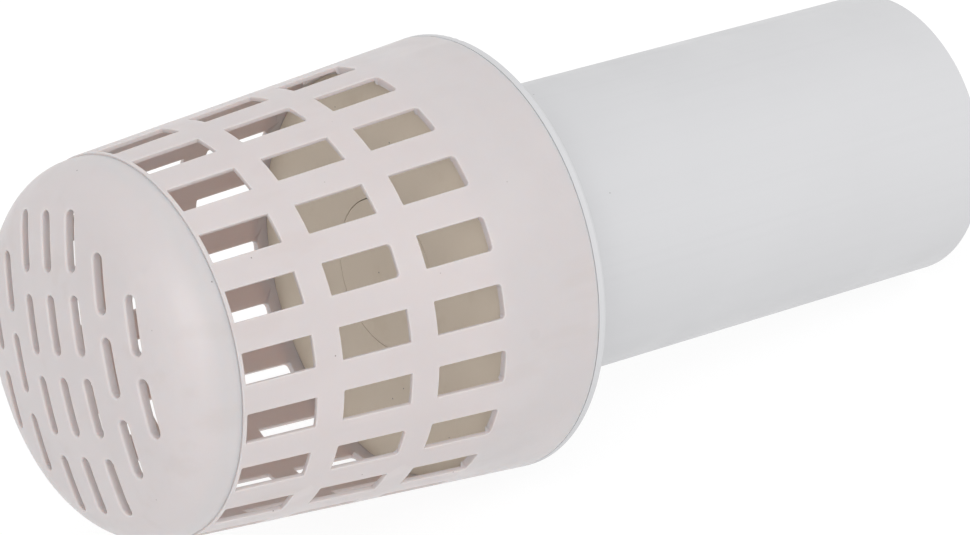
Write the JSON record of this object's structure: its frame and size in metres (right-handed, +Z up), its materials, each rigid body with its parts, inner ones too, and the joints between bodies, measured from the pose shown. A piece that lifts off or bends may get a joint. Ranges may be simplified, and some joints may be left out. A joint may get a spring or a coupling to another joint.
{
  "type": "foot valve",
  "caption": "Plastic foot valve: tapered strainer basket with rows of windows, slotted dome end, spring-loaded lift valve and a plain pipe stub.",
  "frame": {"origin": "on the valve axis, in the plane of the housing's shoulder face, where the pipe leaves the housing", "axes": "+X along the valve axis towards the pipe, strainer towards -X, +Z up with the valve lying on its side; the dome's slots lean 17 degrees from upright"},
  "size_m": [0.2208, 0.0938, 0.0938],
  "materials": {
    "strainer_plastic": "pinkish beige moulded PVC, satin, faint flow marks and small dark specks",
    "pipe_pvc": "cool grey-white extruded PVC pipe, smooth satin",
    "plate_plastic": "beige moulded PVC, satin",
    "seal_rubber": "black nitrile rubber, matte",
    "bush_nylon": "natural white nylon",
    "stainless_steel": "turned stainless steel"
  },
  "bodies": {
    "root": {"strainer_basket": "strainer_plastic", "dome_cap": "strainer_plastic", "valve_housing": "pipe_pvc", "suction_stub": "pipe_pvc", "seat_plate": "plate_plastic", "plate_seal_ring": "seal_rubber", "guide_spider": "plate_plastic", "guide_bush": "bush_nylon", "valve_spring": "stainless_steel"},
    "lift_valve": {"valve_stem": "stainless_steel", "plug_washer": "stainless_steel", "seal_plug": "plate_plastic", "disc_seal": "seal_rubber", "valve_disc": "plate_plastic", "disc_washer": "stainless_steel", "disc_nut": "stainless_steel"}
  },
  "joints": [
    {"name": "valve_lift", "type": "slide", "parent": "root", "child": "lift_valve", "axis": [1, 0, 0], "range_m": [0, 0.009], "stiffness_N_per_m": 120, "springref_m": -0.006, "deforming": ["valve_spring"]}
  ]
}
